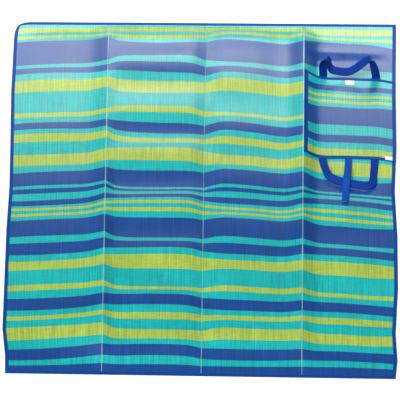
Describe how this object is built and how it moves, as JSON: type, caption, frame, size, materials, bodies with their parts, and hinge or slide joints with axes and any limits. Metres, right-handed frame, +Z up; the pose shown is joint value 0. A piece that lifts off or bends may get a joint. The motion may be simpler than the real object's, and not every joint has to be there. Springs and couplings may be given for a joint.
{
  "type": "folding beach mat",
  "caption": "Thin woven plastic ground mat that folds lengthwise in an accordion, bound all round, with a carry panel, webbing handles and a closure strap.",
  "frame": {"origin": "on the ground under the middle of the spread mat", "axes": "+X to the right across the creases, +Y along the creases to the far edge, +Z up"},
  "size_m": [1.5, 2, 0.1052],
  "materials": {
    "weave": "flat woven straw-like plastic with teal, blue and yellow-green stripes, satin",
    "binding_tape": "ribbed woven tape, royal blue",
    "webbing": "coarse webbing, royal blue",
    "hook": "hook side of a hook-and-loop closure, white",
    "loop": "loop side of a hook-and-loop closure, white",
    "label": "blank satin label, white"
  },
  "bodies": {
    "panel_1": {"mat_panel_1": "weave", "far_binding_1": "binding_tape", "near_binding_1": "binding_tape", "left_binding": "binding_tape"},
    "panel_2": {"mat_panel_2": "weave", "far_binding_2": "binding_tape", "near_binding_2": "binding_tape"},
    "panel_3": {"mat_panel_3": "weave", "far_binding_3": "binding_tape", "near_binding_3": "binding_tape"},
    "panel_4": {"mat_panel_4": "weave", "far_binding_4": "binding_tape", "near_binding_4": "binding_tape", "right_binding": "binding_tape", "carry_panel": "weave", "carry_left_binding": "binding_tape", "carry_far_binding": "binding_tape", "carry_near_binding": "binding_tape", "far_handle_feet": "webbing", "near_handle_feet": "webbing", "closure_strap_foot": "webbing", "loop_patch": "loop", "care_label": "label"},
    "far_handle": {"far_handle": "webbing"},
    "near_handle": {"near_handle": "webbing"},
    "closure_strap": {"closure_strap": "webbing", "hook_patch": "hook"}
  },
  "joints": [
    {"name": "crease_2_fold", "type": "hinge", "parent": "panel_2", "child": "panel_3", "pos_m": [0.006, 0, 0.0075], "axis": [0, -1, 0], "range_deg": [0, 178.96]},
    {"name": "crease_1_fold", "type": "hinge", "parent": "panel_2", "child": "panel_1", "pos_m": [-0.37799, 0, 0.0055], "axis": [0, -1, 0], "range_deg": [-0.3, 178.59]},
    {"name": "crease_3_fold", "type": "hinge", "parent": "panel_3", "child": "panel_4", "pos_m": [0.39398, 0, 0.0055], "axis": [0, 1, 0], "range_deg": [-0.3, 178.54]},
    {"name": "far_handle_flip", "type": "hinge", "parent": "panel_4", "child": "far_handle", "pos_m": [0.57213, 0.693, 0.01097], "axis": [0.9998, 0, -0.0204], "range_deg": [-74, 48]},
    {"name": "near_handle_flip", "type": "hinge", "parent": "panel_4", "child": "near_handle", "pos_m": [0.57213, 0.232, 0.01097], "axis": [-0.9998, 0, 0.0204], "range_deg": [0, 152]},
    {"name": "closure_strap_flip", "type": "hinge", "parent": "panel_4", "child": "closure_strap", "pos_m": [0.57213, 0.232, 0.01097], "axis": [-0.9998, 0, 0.0204], "range_deg": [-0.3, 152.3]}
  ],
  "couplings": [
    {"joint": "crease_1_fold", "follows": "crease_2_fold", "ratio": 0.99626},
    {"joint": "crease_3_fold", "follows": "crease_2_fold", "ratio": 0.99597},
    {"joint": "closure_strap_flip", "follows": "near_handle_flip", "ratio": 1}
  ]
}
